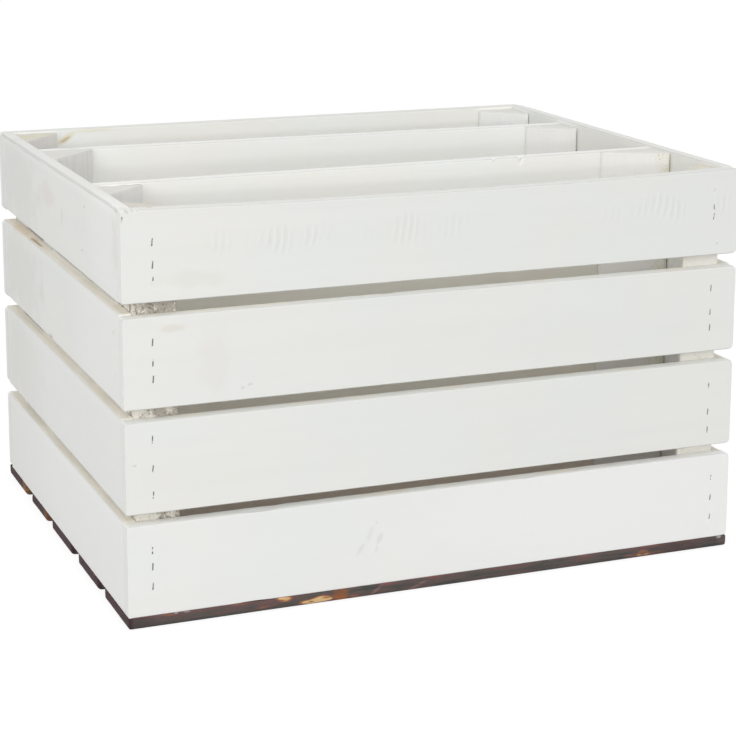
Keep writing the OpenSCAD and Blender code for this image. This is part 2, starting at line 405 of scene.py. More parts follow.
@dataclass(frozen=True)
class RoughPaint:
    """Thin paint over sawn wood, patchy enough for the yellow wood to show through."""

    paint: Colour = (0.91, 0.91, 0.89)
    dirt: Colour = (0.62, 0.60, 0.53)
    wood: Colour = (0.80, 0.77, 0.60)
    dark_wood: Colour = (0.62, 0.55, 0.36)
    patches: float = 0.9
    patches_per_metre: float = 60.0
    specks: float = 0.9
    streaks: float = 0.07
    relief: float = 0.4 * MM

    SLOT = "thin_paint"
    COAT = "paint"

    def material(self, name: str, seed: int) -> bpy.types.Material:
        """The finish of one post; the seed sets its grain."""
        material, shader = new_material(name)
        grain = shader.vector("ADD", shader.attribute("place"), (seed * 2.1, seed * 1.3, seed * 0.7))
        fibre = shader.noise(grain, (420, 420, 30), detail=4)
        often = self.patches_per_metre
        patch = shader.noise(grain, (often, often, often * 0.7), detail=4)
        grit = shader.noise(grain, (650, 650, 650), detail=3)
        wear = shader.split(shader.attribute("wear"))

        colour = shader.mix(fibre.fade(0.45, 0.8) * self.streaks, self.paint, self.dirt)
        spread = (patch - 0.5) * self.patches + (grit - 0.5) * self.specks
        raw = (wear.output("X") + spread).fade(0.4, 0.7)
        wood = shader.mix(grit.fade(0.5, 0.72), self.wood, self.dark_wood)
        colour = shader.mix(raw, colour, wood)
        thin = (wear.output("Y") + (grit - 0.5) * 1.2).fade(0.6, 0.9)
        colour = shader.mix(thin * 0.4, colour, self.dirt)

        height = fibre * 0.6 + grit * 0.4
        shader.finish(colour, grit * 0.15 + 0.6, shader.bump(height, 0.35, self.relief))
        return material


@dataclass(frozen=True)
class CharredWood:
    """Pine burnt nearly black, with the harder growth rings left red-brown and orange."""

    soot: Colour = (0.074, 0.074, 0.070)
    char: Colour = (0.115, 0.098, 0.089)
    ember: Colour = (0.165, 0.095, 0.092)
    toast: Colour = (0.42, 0.19, 0.08)
    spared: Colour = (0.80, 0.54, 0.27)
    end_grain: Colour = (0.056, 0.028, 0.032)
    gloss: float = 0.15
    upper_edge: tuple[float, float] = (6 * MM, 9 * MM)
    end_band: tuple[float, float] = (4 * MM, 1.5 * MM)
    relief: float = 0.5 * MM

    SLOT = "charred_wood"
    COAT = "char"

    def material(self, name: str, seed: int, marks: Sequence[Mark] = ()) -> bpy.types.Material:
        """The finish of one floor board.

        Args:
            name: the material's name.
            seed: sets the rings, which differ from board to board.
            marks: where the flame spared the wood.

        Returns:
            The material.
        """
        material, shader = new_material(name)
        place = shader.attribute("place")
        grain = shader.vector("ADD", place, (seed * 1.9, seed * 0.8, seed * 0.4))
        bend = shader.noise(grain, (7, 30, 30), detail=3)
        fibre = shader.noise(grain, (20, 700, 700), detail=4)
        patch = shader.noise(grain, (14, 60, 30), detail=3)
        rings = shader.noise(grain, (18, 160, 110), detail=2, distortion=2.2)
        parts = shader.split(place)
        upper = parts.output("Y").fade(*self.upper_edge)
        heat: Any = (rings - 0.5) * 0.8 + (patch - 0.5) * 0.9 + upper * 0.13 + 0.20
        spared = [mark for mark in marks if mark.kind is MarkKind.FLAME]
        for mark in spared:
            heat = heat + mark.mask(shader, place, bend) * (rings * 1.8 - 0.3)
        burnt = [(0.05, self.soot), (0.22, self.char), (0.42, self.ember)]
        colour = shader.ramp(heat + (fibre - 0.5) * 0.2, burnt + [(0.76, self.toast), (0.95, self.spared)])
        at_end = parts.output("X").fade(*self.end_band) * (1 - heat.fade(0.5, 0.7))
        colour = shader.mix(at_end, colour, self.end_grain)
        broken = rings.fade(0.35, 0.6) * 0.6 + 0.4
        for mark in marks:
            if mark not in spared:
                colour = shader.mix(mark.mask(shader, place, patch) * broken, colour, mark.colour)
        height = rings * 0.6 + fibre * 0.4
        normal = shader.bump(height, 0.5, self.relief)
        shader.finish(colour, fibre * 0.15 + 0.6, normal, Specular_IOR_Level=self.gloss)
        return material


@dataclass(frozen=True)
class StapleWire:
    """Dull zinc wire that the paint has partly covered, its metal darkened with painted shade of the dents
    round it.
    """

    # zinc and the tarnish are darker than bare zinc: partly tarnish, partly painted shade of the dents the
    # crowns sit in.
    zinc: Colour = (0.26, 0.26, 0.25)
    tarnish_and_dent_shade: Colour = (0.10, 0.095, 0.09)
    paint: Colour = (0.80, 0.80, 0.78)
    relief: float = 0.1 * MM

    def material(self) -> bpy.types.Material:
        """The finish of every staple."""
        material, shader = new_material("staple_wire")
        place = shader.node("ShaderNodeTexCoord").output("Object")
        cover = shader.noise(place, (130, 130, 260), detail=2)
        pits = shader.noise(place, (1500, 1500, 1500), detail=2)
        # The metal's dark colour is partly painted shade of the dents.
        metal = shader.mix(pits.fade(0.4, 0.7), self.zinc, self.tarnish_and_dent_shade)
        painted = cover.fade(0.52, 0.62)
        colour = shader.mix(painted, metal, self.paint)
        roughness = pits * 0.2 + painted * 0.2 + 0.35
        shader.finish(colour, roughness, shader.bump(pits, 0.2, self.relief), Metallic=0.6)
        return material


# ---------------------------------------------------------------- meshes


class Waves:
    """A smooth random field over space: a sum of sine waves in seeded directions."""

    TERMS = 14

    def __init__(self, seed: int, wavelength: float, stretch: Sequence[float] = (1, 1, 1)) -> None:
        """Draws the waves.

        Args:
            seed: sets the field.
            wavelength: the usual distance from crest to crest.
            stretch: how much longer the waves are in each direction.
        """
        rng = np.random.default_rng(seed)
        directions = rng.normal(size=(self.TERMS, 3))
        directions /= np.linalg.norm(directions, axis=1)[:, None]
        lengths = wavelength * rng.uniform(0.6, 1.7, self.TERMS)
        self.waves = directions * (2 * math.pi / lengths)[:, None] / np.asarray(stretch, float)
        self.phases = rng.uniform(0, 2 * math.pi, self.TERMS)

    def at(self, points: Array) -> Array:
        """The field at each point, mostly between -2 and 2."""
        return np.sin(points @ self.waves.T + self.phases).sum(1) / math.sqrt(self.TERMS / 2)


def smooth_step(values: Array, start: float, end: float) -> Array:
    """0 before start, 1 past end, and smooth in between."""
    share = np.clip((values - start) / (end - start), 0, 1)
    return share * share * (3 - 2 * share)


def cut_lines(length: float, step: float, near_ends: Sequence[float], extra: Iterable[float]) -> Array:
    """Where a board is divided along one direction.

    Args:
        length: the board's size in that direction.
        step: the widest distance between two lines.
        near_ends: distances of lines from both ends.
        extra: places of more lines.

    Returns:
        The places, in order, with none nearly doubled.
    """
    least = 0.1 * MM
    fixed = sorted({*near_ends, *(length - d for d in near_ends), *extra})
    kept = [fixed[0]]
    for place in fixed[1:]:
        if place - kept[-1] > least:
            kept.append(place)
    kept[-1] = length
    spans = zip(kept[:-1], kept[1:])
    filled = [np.linspace(a, b, max(1, math.ceil((b - a) / step)), endpoint=False) for a, b in spans]
    return np.append(np.concatenate(filled), length)


def block_shell(lines: Sequence[Array]) -> tuple[Array, Array]:
    """The skin of a block that lines divide in three directions.

    Args:
        lines: the places of the lines in each direction.

    Returns:
        The skin's points, and its faces as four indices that turn outward.
    """
    counts = [len(places) for places in lines]
    index = np.indices(counts)
    on_skin = np.zeros(counts, bool)
    for axis in range(3):
        on_skin |= (index[axis] == 0) | (index[axis] == counts[axis] - 1)
    numbers = np.full(counts, -1)
    numbers[on_skin] = np.arange(on_skin.sum())
    points = np.stack([lines[axis][index[axis][on_skin]] for axis in range(3)], axis=1)
    faces = []
    for axis in range(3):
        for end in (0, counts[axis] - 1):
            sheet = np.take(numbers, end, axis=axis)
            corners = [sheet[:-1, :-1], sheet[1:, :-1], sheet[1:, 1:], sheet[:-1, 1:]]
            quads = np.stack(corners, axis=-1).reshape(-1, 4)
            faces.append(quads[:, ::-1] if (end == 0) != (axis == 1) else quads)
    return points, np.concatenate(faces)


def ring_quads(rings: int, count: int, first: int = 0) -> list[tuple[int, ...]]:
    """The quads between neighbouring rings of points.

    Args:
        rings: how many rings there are.
        count: how many points a ring has.
        first: the number of the first point.

    Returns:
        The quads, ring by ring.
    """
    pairs = [(k, (k + 1) % count) for k in range(count)]
    starts = [first + ring * count for ring in range(rings - 1)]
    return [(s + a, s + b, s + b + count, s + a + count) for s in starts for a, b in pairs]


def new_object(name: str, data: bpy.types.ID) -> bpy.types.Object:
    """An object that shows a mesh, a lamp or a camera in the scene."""
    made = bpy.data.objects.new(name, data)
    bpy.context.scene.collection.objects.link(made)
    return made


@dataclass
class Skin:
    """A mesh in the making, in the crate's frame, with what its finish reads."""

    points: Array
    faces: list[tuple[int, ...]]
    place: Array
    wear: Array

    def build(self, name: str, material: bpy.types.Material) -> bpy.types.Object:
        """Makes the object.

        Args:
            name: the piece's name.
            material: its finish.

        Returns:
            The object, smooth shaded.
        """
        mesh = bpy.data.meshes.new(name)
        mesh.from_pydata(self.points.tolist(), [], self.faces)
        mesh.update()
        for label, values in (("place", self.place), ("wear", self.wear)):
            layer = mesh.attributes.new(label, "FLOAT_VECTOR", "POINT")
            layer.data.foreach_set("vector", values.astype(np.float32).ravel())
        mesh.materials.append(material)
        mesh.shade_smooth()
        return new_object(name, mesh)


def install(piece: bpy.types.Object, slot: str, *nodes: str) -> None:
    """Sets a piece on the crate in place of CAD nodes, and reports it."""
    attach(piece, BODY)
    if nodes:
        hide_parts(*nodes)
    log.info("%s: %d faces for %s", piece.name, len(piece.data.polygons), ", ".join(nodes) or "itself")


class Facing(Enum):
    """Which way the outer face of a board turns."""

    FRONT = (0, -1, 0)
    BACK = (0, 1, 0)
    LEFT = (-1, 0, 0)
    RIGHT = (1, 0, 0)
    UNDER = (0, 0, -1)

    @property
    def axes(self) -> Array:
        """The board's directions as rows: along its length, inward, and across its width."""
        along = (0, 1, 0) if self in (Facing.LEFT, Facing.RIGHT) else (1, 0, 0)
        across = (0, 1, 0) if self is Facing.UNDER else (0, 0, 1)
        return np.array([along, [-n for n in self.value], across], float)


@dataclass(frozen=True)
class Bench:
    """A board's own frame: its length, its thickness from the outer face, and its width."""

    origin: Array
    axes: Array
    size: Array

    @classmethod
    def of(cls, node: str, facing: Facing) -> Bench:
        """The frame of a CAD node whose outer face turns that way."""
        low, high = (np.array(corner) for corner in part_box(node))
        axes = facing.axes
        starts = np.where(axes.sum(0) < 0, high, low)
        return cls(starts, axes, np.abs(axes @ (high - low)))

    def outward(self, local: Array) -> Array:
        """Points in the crate's frame."""
        return self.origin + local @ self.axes

    def inward(self, points: Array) -> Array:
        """Points in the board's frame."""
        return (points - self.origin) @ self.axes.T

    @property
    def mirrored(self) -> bool:
        """Whether the frame is left-handed, so that faces turn over."""
        return bool(np.linalg.det(self.axes) < 0)


@dataclass(frozen=True)
class Dent:
    """Where a staple's crown is sunk in a board: its middle, half its size on the face, how
    deep the paint leaves it, and how much it slants."""

    along: float
    across: float
    half_length: float
    half_width: float
    depth: float
    slant: float


DentDepths = tuple[tuple[float, float], tuple[float, float]]
PAINTED_OVER: DentDepths = ((0.1 * MM, 0.33 * MM),) * 2
OPEN: DentDepths = ((0.5 * MM, 0.65 * MM),) * 2


class StapleSet:
    """All staples of the crate, kept as CAD nodes with a wire finish."""

    NODES = tuple(f"{place}_staples" for place in ("front", "back", "left", "right", "divider", "floor"))
    OVERLAP = 0.15 * MM
    DEEPEST_CROWN = 1.0 * MM
    SLANT = (0.13, 0.07)
    SEED = 7

    def __init__(self) -> None:
        """Finds each staple in the CAD meshes."""
        self.boxes = [box for node in self.NODES for box in self._solids(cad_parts[node])]
        self.rng = np.random.default_rng(self.SEED)

    @staticmethod
    def _solids(node: bpy.types.Object) -> list[Array]:
        """The box of each loose solid of a node, as its lowest and highest corner."""
        places = np.array([v.co for v in node.data.vertices])
        keys, weld = np.unique(np.round(places, 6), axis=0, return_inverse=True)
        weld = weld.ravel()
        parent = list(range(len(keys)))

        def root(i: int) -> int:
            """The first point of the solid that point i is in."""
            while parent[i] != i:
                parent[i] = parent[parent[i]]
                i = parent[i]
            return i

        for face in node.data.polygons:
            first, *others = (root(weld[i]) for i in face.vertices)
            for other in others:
                parent[root(other)] = root(first)
        roots = np.array([root(i) for i in range(len(keys))])
        return [np.array([keys[roots == r].min(0), keys[roots == r].max(0)]) for r in np.unique(roots)]

    def dents(self, bench: Bench, depths: DentDepths) -> list[Dent]:
        """The dents of the staples whose crowns lie just under a board's outer face.

        Args:
            bench: the board's frame.
            depths: the least and the greatest depth that the paint leaves, in each half.

        Returns:
            The dents, each a little narrower than its staple.
        """
        found = []
        for box in self.boxes:
            local = bench.inward(box)
            low, high = local.min(0), local.max(0)
            middle, half = (low + high) / 2, (high - low) / 2
            on_face = all(0 < middle[axis] < bench.size[axis] for axis in (0, 2))
            if on_face and 0 < low[1] < self.DEEPEST_CROWN:
                reach = half - self.OVERLAP
                half_depths = depths[int(middle[0] > bench.size[0] / 2)]
                depth, slant = self.rng.uniform(*half_depths), self.rng.normal(*self.SLANT)
                found.append(Dent(middle[0], middle[2], reach[0], reach[2], depth, slant))
        return found

    def dress(self) -> None:
        """Gives the staples their wire."""
        wire = StapleWire().material()
        for node in self.NODES:
            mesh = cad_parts[node].data
            mesh.materials.clear()
            mesh.materials.append(wire)
            log.info("%s: CAD node in staple wire", node)


@dataclass(frozen=True)
class Easing:
    """How a board's edges are rounded."""

    corners: tuple[tuple[float, float], tuple[float, float]] = ((1 * MM, 1 * MM), (1 * MM, 1 * MM))
    arris: float = 0.8 * MM
    top_arris: float = 0.8 * MM
    start_arris: float = 0.3 * MM
    end_arris: float = 0.3 * MM
    inner_arris: float = 0.8 * MM

    @property
    def outer_reach(self) -> float:
        """How far the rounding of the outer face goes in."""
        return max(self.arris, self.top_arris, self.start_arris, self.end_arris)

    @property
    def margin(self) -> float:
        """How far in from a board's outline its easing reaches."""
        return max(*self.corners[0], *self.corners[1], self.outer_reach, self.inner_arris)

    def shape(self, local: Array, size: Array, nicks: Array) -> tuple[Array, Array]:
        """Rounds a block's skin.

        Args:
            local: points on a sharp block, in the board's frame.
            size: the block's size.
            nicks: how far the outline is drawn in at each point.

        Returns:
            The rounded points, and how near each is to an arris, 0 to 1.
        """
        margin = self.margin
        flat, extent = local[:, [0, 2]], size[[0, 2]]
        inner = np.clip(flat, margin, extent - margin)
        reach = flat - inner
        far = np.abs(reach).max(1)
        square = np.maximum((reach**2).sum(1), 1e-18)
        end_share = reach[:, 0] ** 2 / square
        at_end, at_high = (flat > extent / 2).T.astype(int)
        lengthwise = np.where(at_high, self.top_arris, self.arris)
        endwise = np.where(at_end, self.end_arris, self.start_arris)
        outer = lengthwise + (endwise - lengthwise) * end_share
        deep = local[:, 1]
        radius = np.where(deep < size[1] / 2, outer, self.inner_arris)
        sunk = np.maximum(deep - size[1] + self.inner_arris, 0)
        level = np.where(deep < size[1] / 2, np.minimum(deep - outer, 0), sunk)
        side = np.clip(far - (margin - radius), 0, None)
        widest = np.maximum(side, np.abs(level))
        shrink = np.where(widest > 0, widest / np.maximum(np.hypot(side, level), 1e-12), 1)
        near = (side > 0) & (np.abs(level) > 0)
        new_far = np.where(side > 0, margin - radius + side * shrink, far)
        new_far = np.maximum(new_far - nicks * smooth_step(far, margin - 1.5 * MM, margin), 0)
        reach = reach * (new_far / np.maximum(far, 1e-12))[:, None]
        corner = np.array(self.corners)[at_end, at_high]
        middle = (new_far * (1 - corner / margin))[:, None]
        beyond = np.clip(np.abs(reach) - middle, 0, None)
        turned = beyond * (beyond.max(1) / np.maximum(np.hypot(*beyond.T), 1e-12))[:, None]
        reach = np.sign(reach) * (np.minimum(np.abs(reach), middle) + turned)
        shaped = local.copy()
        shaped[:, [0, 2]] = inner + reach
        shaped[:, 1] = deep - level + level * shrink
        return shaped, near.astype(float)


@dataclass(frozen=True)
class Chip:
    """A piece broken out of a board's upper edge, from the outer or the inner face."""

    along: float
    width: float
    depth: float
    inner: bool = False

    def lines(self) -> Array:
        """Where the board is divided to show it."""
        return self.along + np.linspace(-0.6, 0.6, 13) * self.width

    def depth_at(self, sharp: Array, thickness: float, jagged: Array) -> Array:
        """How deep it is at each point."""
        across = np.abs(sharp[:, 0] - self.along) / (self.width / 2)
        share = sharp[:, 1] / thickness
        near = share if self.inner else 1 - share
        return self.depth * np.clip(1 - across**2, 0, 1) * near**2 * (1 + 0.5 * jagged)


@dataclass(frozen=True)
class Edges:
    """How much higher a board's two long edges lie than in a true board, at its start and end."""

    top: tuple[float, float] = (0.0, 0.0)
    low: tuple[float, float] = (0.0, 0.0)


@dataclass
class Board:
    """One board: a planed block with eased edges, staple dents, and its own bow and nicks."""

    node: str
    facing: Facing
    seed: int
    easing: Easing = Easing()
    bare_low: float = 0.0
    bare_high: float = 0.0
    dull_top: float = 0.0
    sag: float = 0.0
    edges: Edges = Edges()
    dent_depths: DentDepths = OPEN
    marks: tuple[Mark, ...] = ()
    chips: tuple[Chip, ...] = ()

    DENT_RIMS = (0.0, 0.12 * MM, 0.3 * MM)
    NEAR_EDGE = tuple(d * MM for d in (0, 0.25, 0.55, 0.85, 1.6, 2.6, 4, 6, 8, 10, 12, 14))
    STEP_ALONG = 5 * MM
    STEP_THROUGH = 3 * MM
    STEP_ACROSS = 7 * MM
    DENT_REACH = (2 * MM, 4 * MM)
    EDGE_BAND = 0.2
    BRUSHED = (0.5 * MM, 0.9 * MM)
    LEAST_BARE = 0.3
    WAVER_LENGTH, WAVER_DEPTH = 22 * MM, 0.03 * MM
    NICK_SEED, NICK_SPACING, NICK_FROM, NICK_DEPTH = 500, 45 * MM, 1.75, 0.9 * MM
    CHIP_SEED, SPLINTER_SIZE = 70, 2.5 * MM
    SWELL_SEED, SWELL_LENGTH, SWELL_DEPTH = 900, 120 * MM, 0.05 * MM

    def skin(self, staples: StapleSet) -> Skin:
        """The board's mesh, with dents for the staples that stand in it."""
        bench = Bench.of(self.node, self.facing)
        dents = staples.dents(bench, self.dent_depths)
        sharp, quads = block_shell(self._lines(bench.size, dents))
        points, arris = self.easing.shape(sharp, bench.size, self._nicks(sharp))
        on_face = sharp[:, 1] == 0
        wide, high = self.DENT_REACH
        for dent in dents:
            aside, up = sharp[:, 0] - dent.along, sharp[:, 2] - dent.across
            crown = (np.abs(aside) <= dent.half_length + MICRON) & (np.abs(up) <= dent.half_width + MICRON)
            points[on_face & crown, 1] += dent.depth
            close = np.exp(-((aside / wide) ** 2) - (up / high) ** 4)
            points[:, 0] += dent.slant * up * close * on_face
        points[:, 2] += self._rise(sharp, bench.size)
        points[:, 1] += self._unevenness(sharp, bench.size)
        wear = self._wear(sharp, bench.size, arris)
        faces = quads[:, ::-1] if bench.mirrored else quads
        return Skin(bench.outward(points), faces.tolist(), sharp, wear)

    def lay(self, name: str, finish: Paint | CharredWood, staples: StapleSet) -> None:
        """Makes the board's piece in its finish, and sets it on the crate."""
        material = finish.material(f"{name}_{finish.COAT}", self.seed, self.marks)
        install(self.skin(staples).build(name, material), finish.SLOT, self.node)

    def _lines(self, size: Array, dents: Sequence[Dent]) -> list[Array]:
        """The places that divide the board, with lines round each dent."""
        rims = [(side, out) for side in (-1, 1) for out in self.DENT_RIMS]
        along = [d.along + side * (d.half_length + out) for d in dents for side, out in rims]
        for torn in self.chips:
            along += [place for place in torn.lines() if 0 < place < size[0]]
        across = [d.across + side * (d.half_width + out) for d in dents for side, out in rims]
        near = [d for d in self.NEAR_EDGE if d <= self.easing.margin + TOUCH]
        through = [d for d in self.NEAR_EDGE if d <= self.easing.outer_reach + 0.1 * MM]
        return [
            cut_lines(size[0], self.STEP_ALONG, near, along),
            cut_lines(size[1], self.STEP_THROUGH, through, ()),
            cut_lines(size[2], self.STEP_ACROSS, near, across),
        ]

    def _nicks(self, sharp: Array) -> Array:
        """How far the outline is drawn in: a faint waver everywhere, and a few real nicks."""
        waver = Waves(self.seed, self.WAVER_LENGTH).at(sharp)
        rare = Waves(self.seed + self.NICK_SEED, self.NICK_SPACING, (1, 0.5, 6)).at(sharp)
        return (waver + 2) * self.WAVER_DEPTH + np.clip(rare - self.NICK_FROM, 0, 0.8) * self.NICK_DEPTH

    def _rise(self, sharp: Array, size: Array) -> Array:
        """How much higher each point lies than in a true board, bowed and chipped."""
        share = sharp[:, 0] / size[0]
        up = sharp[:, 2] / size[2]
        jagged = Waves(self.seed + self.CHIP_SEED, self.SPLINTER_SIZE).at(sharp)
        depths = (torn.depth_at(sharp, size[1], jagged) for torn in self.chips)
        broken = sum(depths, np.zeros(len(sharp)))
        top = self.edges.top[0] + np.diff(self.edges.top)[0] * share
        top = top - self.sag * (1 - (2 * share - 1) ** 2) - np.clip(broken, 0, None)
        low = self.edges.low[0] + np.diff(self.edges.low)[0] * share
        bands = up / self.EDGE_BAND
        return top * np.clip(bands - (1 / self.EDGE_BAND - 1), 0, 1) + low * np.clip(1 - bands, 0, 1)

    def _unevenness(self, sharp: Array, size: Array) -> Array:
        """How far each point of the faces lies in from a true plane."""
        swell = Waves(self.seed + self.SWELL_SEED, self.SWELL_LENGTH, (2, 1, 1)).at(sharp)
        inward = np.where(sharp[:, 1] < size[1] / 2, 1.0, -1.0)
        return inward * np.clip(swell + 1.5, 0, None) * self.SWELL_DEPTH

    def _wear(self, sharp: Array, size: Array, arris: Array) -> Array:
        """Bareness, arris and dullness at each point."""
        low = sharp[:, 2] <= TOUCH
        high = sharp[:, 2] >= size[2] - TOUCH
        past_brush = self.LEAST_BARE + (1 - self.LEAST_BARE) * smooth_step(sharp[:, 1], *self.BRUSHED)
        bare = (low * self.bare_low + high * self.bare_high) * past_brush
        return np.stack([bare, arris, high * self.dull_top], axis=1)


# ---------------------------------------------------------------- posts


def outline_of(node: str) -> Array:
    """The convex outline of a CAD node on the ground plane, counter-clockwise."""
    places = {(round(v.co.x, 5), round(v.co.y, 5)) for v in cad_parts[node].data.vertices}

    def half(points: Sequence[tuple[float, float]]) -> list[tuple[float, float]]:
        """One side of the hull."""
        chain: list[tuple[float, float]] = []
        for p in points:
            while len(chain) > 1 and cross(chain[-2], chain[-1], p) <= TOUCH:
                chain.pop()
            chain.append(p)
        return chain[:-1]

    def cross(a: Sequence[float], b: Sequence[float], c: Sequence[float]) -> float:
        """Twice the area of the triangle a, b, c."""
        return (b[0] - a[0]) * (c[1] - a[1]) - (b[1] - a[1]) * (c[0] - a[0])

    ordered = sorted(places)
    return np.array(half(ordered) + half(ordered[::-1]))


@dataclass
class Post:
    """One sawn post, cut from the outline of its CAD node."""

    node: str
    seed: int
    raw: float = 0.15
    raw_top: float = 0.2
    raw_tip: float = 0.15
    top_drop: float = 0.0
    finish: RoughPaint = RoughPaint()

    WALL_GAP = 0.7 * MM
    EASE = 0.7 * MM
    STEP_ROUND = 3 * MM
    STEP_UP = 6 * MM
    END_LINES = tuple(d * MM for d in (0, 0.3, 0.8, 1.6))
    CAP_RINGS = (0.8, 0.55, 0.3)
    SAW_LENGTH, SAW_DEPTH, SAW_INSET = 9 * MM, 0.10 * MM, 0.15 * MM
    CAP_SEED, CAP_LENGTH, CAP_DEPTH = 40, 5 * MM, 0.12 * MM
    DROP_FROM = 22 * MM
    CORNER_SHARE = 0.4
    TIP_FROM = 0.55
    WORN_EDGE = 0.9 * MM

    def skin(self) -> Skin:
        """The post's mesh: rings up its length and a sawn cap at each end."""
        low, high = (np.array(c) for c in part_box(self.node))
        around, outward = self._around()
        levels = cut_lines(high[2] - low[2], self.STEP_UP, self.END_LINES, ())
        rings = []
        for level in levels:
            to_end = min(level, levels[-1] - level)
            inset = self.EASE * max(0.0, 1 - to_end / self.END_LINES[2]) ** 2
            rings.append(np.column_stack([around - outward * inset, np.full(len(around), low[2] + level)]))
        middle = around.mean(0)
        bottom = [self._cap_ring(around, middle, share, low[2]) for share in self.CAP_RINGS[::-1]]
        top = [self._cap_ring(around, middle, share, high[2]) for share in self.CAP_RINGS]
        stacked = bottom + rings + top
        sharp = np.concatenate(stacked + [[[*middle, low[2]]], [[*middle, high[2]]]])
        points = sharp.copy()
        whole = np.tile(outward, (len(stacked), 1))
        rough = Waves(self.seed, self.SAW_LENGTH, (1, 1, 3)).at(sharp)[: len(whole)] * self.SAW_DEPTH
        points[: len(whole), :2] -= whole * np.clip(rough + self.SAW_INSET, 0, None)[:, None]
        near_top = smooth_step(sharp[:, 2], high[2] - self.DROP_FROM, high[2])
        points[:, 2] -= near_top * self.top_drop
        on_cap = sharp[:, 2] >= high[2] - TOUCH
        torn = Waves(self.seed + self.CAP_SEED, self.CAP_LENGTH).at(sharp[on_cap])
        points[on_cap, 2] += torn * self.CAP_DEPTH
        return Skin(points, self._faces(len(stacked), len(around)), sharp, self._wear(sharp, low, high))

    def _around(self) -> tuple[Array, Array]:
        """Points round the outline, with its corners eased, and the way out at each.

        The posts on the right stand a little off their wall.
        """
        corners = outline_of(self.node)
        if corners[:, 0].mean() > 0:
            corners[corners[:, 0] > corners[:, 0].max() - MICRON, 0] -= self.WALL_GAP
        before, after = np.roll(corners, 1, axis=0), np.roll(corners, -1, axis=0)
        points: list[Array] = []
        for corner, last, following in zip(corners, before, after):
            back = (last - corner) / np.linalg.norm(last - corner)
            ahead = (following - corner) / np.linalg.norm(following - corner)
            start, end = corner + back * self.EASE, corner + ahead * self.EASE
            rounded = (start + end) / 2 * (1 - self.CORNER_SHARE) + corner * self.CORNER_SHARE
            points += [start, rounded, end]
            run = np.linalg.norm(following - corner) - 2 * self.EASE
            steps = max(1, math.ceil(run / self.STEP_ROUND))
            points += [end + ahead * run * k / steps for k in range(1, steps)]
        around = np.array(points)
        tangent = np.roll(around, -1, axis=0) - np.roll(around, 1, axis=0)
        outward = np.column_stack([tangent[:, 1], -tangent[:, 0]])
        return around, outward / np.linalg.norm(outward, axis=1)[:, None]

    @staticmethod
    def _cap_ring(around: Array, middle: Array, share: float, height: float) -> Array:
        """A ring of a cap, drawn in towards its middle."""
        return np.column_stack([middle + (around - middle) * share, np.full(len(around), height)])

    @staticmethod
    def _faces(rings: int, count: int) -> list[tuple[int, ...]]:
        """Quads between neighbouring rings, and a fan at each end."""
        faces = ring_quads(rings, count)
        last = (rings - 1) * count
        for k in range(count):
            faces.append((rings * count, (k + 1) % count, k))
            faces.append((rings * count + 1, last + k, last + (k + 1) % count))
        return faces

    def _wear(self, sharp: Array, low: Array, high: Array) -> Array:
        """Bareness and arris at each point; the tip by the side wall is the barest."""
        leg = high[0] - low[0]
        to_wall = np.abs(sharp[:, 0]) - min(abs(low[0]), abs(high[0]))
        tip = smooth_step(to_wall, self.TIP_FROM * leg, leg)
        raw = self.raw + (self.raw_tip - self.raw) * tip
        raw = np.where(sharp[:, 2] >= high[2] - TOUCH, self.raw_top, raw)
        edge = (np.abs(sharp[:, 2] - high[2]) < self.WORN_EDGE).astype(float)
        return np.stack([raw, edge, np.zeros(len(raw))], axis=1)


# ---------------------------------------------------------------- sub-assemblies


CRISP_ARRIS = 0.12 * MM


